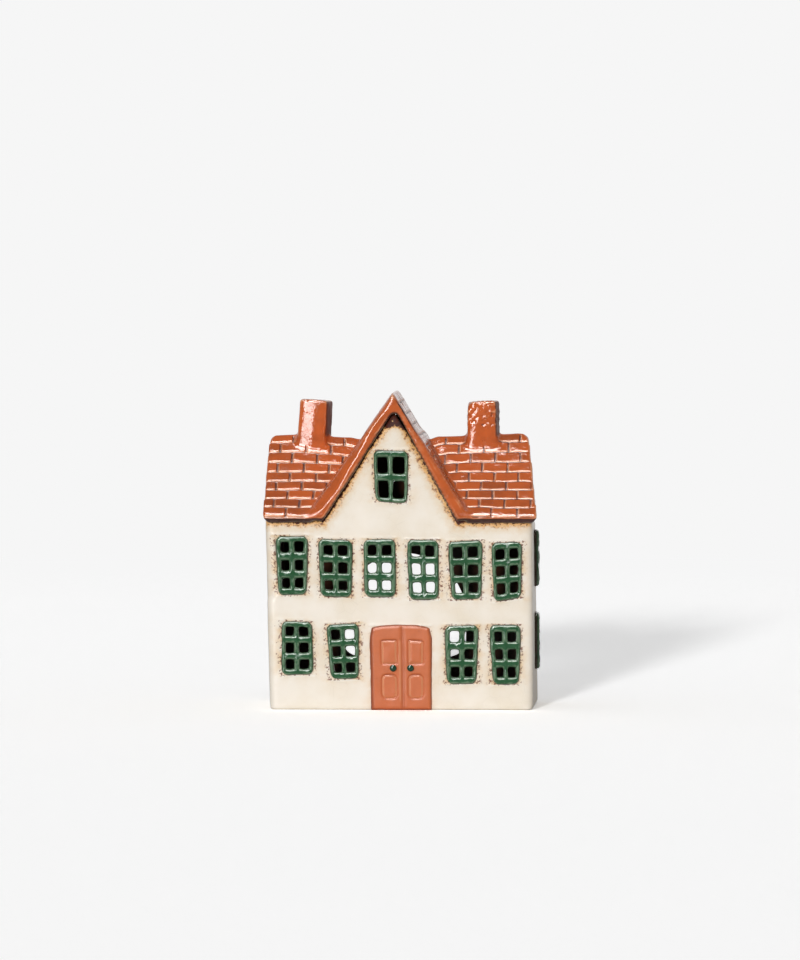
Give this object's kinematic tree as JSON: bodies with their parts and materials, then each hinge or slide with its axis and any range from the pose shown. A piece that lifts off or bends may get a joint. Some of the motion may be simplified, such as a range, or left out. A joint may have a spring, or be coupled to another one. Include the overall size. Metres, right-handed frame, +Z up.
{
  "type": "tealight house",
  "caption": "Slab-built glazed pottery house with a brick-pressed cross-gable roof, window grids, a double door and a rear arch that takes a tealight.",
  "frame": {"origin": "on the table, under the middle of the roof's outline", "axes": "+Z up, +X to the right of a viewer who faces the door, +Y from the door to the rear arch"},
  "size_m": [0.1486, 0.094, 0.1715],
  "materials": {
    "cream_glaze": "glossy",
    "roof_glaze": "glossy",
    "door_glaze": "satin",
    "green_glaze": "glossy",
    "cup_aluminium": "bright",
    "wax": "waxy",
    "wick_cotton": "waxed cotton",
    "tab_steel": "tinned"
  },
  "bodies": {
    "house": {"floor_slab": "cream_glaze", "front_wall": "cream_glaze", "back_wall": "cream_glaze", "left_wall": "cream_glaze", "right_wall": "cream_glaze", "roof_front_left": "roof_glaze", "roof_front_right": "roof_glaze", "roof_back_left": "roof_glaze", "roof_back_right": "roof_glaze", "gable_roof_left": "roof_glaze", "gable_roof_right": "roof_glaze", "chimney_left": "roof_glaze", "chimney_right": "roof_glaze", "door": "door_glaze", "attic_window": "green_glaze", "upper_window_1": "green_glaze", "upper_window_2": "green_glaze", "upper_window_3": "green_glaze", "upper_window_4": "green_glaze", "upper_window_5": "green_glaze", "upper_window_6": "green_glaze", "lower_window_1": "green_glaze", "lower_window_2": "green_glaze", "lower_window_3": "green_glaze", "lower_window_4": "green_glaze", "left_upper_window": "green_glaze", "left_lower_window": "green_glaze", "right_upper_window": "green_glaze", "right_lower_window": "green_glaze", "door_knob_left": "green_glaze", "door_knob_right": "green_glaze"},
    "tealight": {"tealight_cup": "cup_aluminium", "tealight_wax": "wax", "tealight_wick": "wick_cotton", "tealight_wick_tab": "tab_steel"}
  },
  "joints": [
    {"name": "tealight_lift_out", "type": "slide", "parent": "house", "child": "tealight", "axis": [0, 0.8346, 0.5508], "range_m": [0, 0.102]}
  ]
}
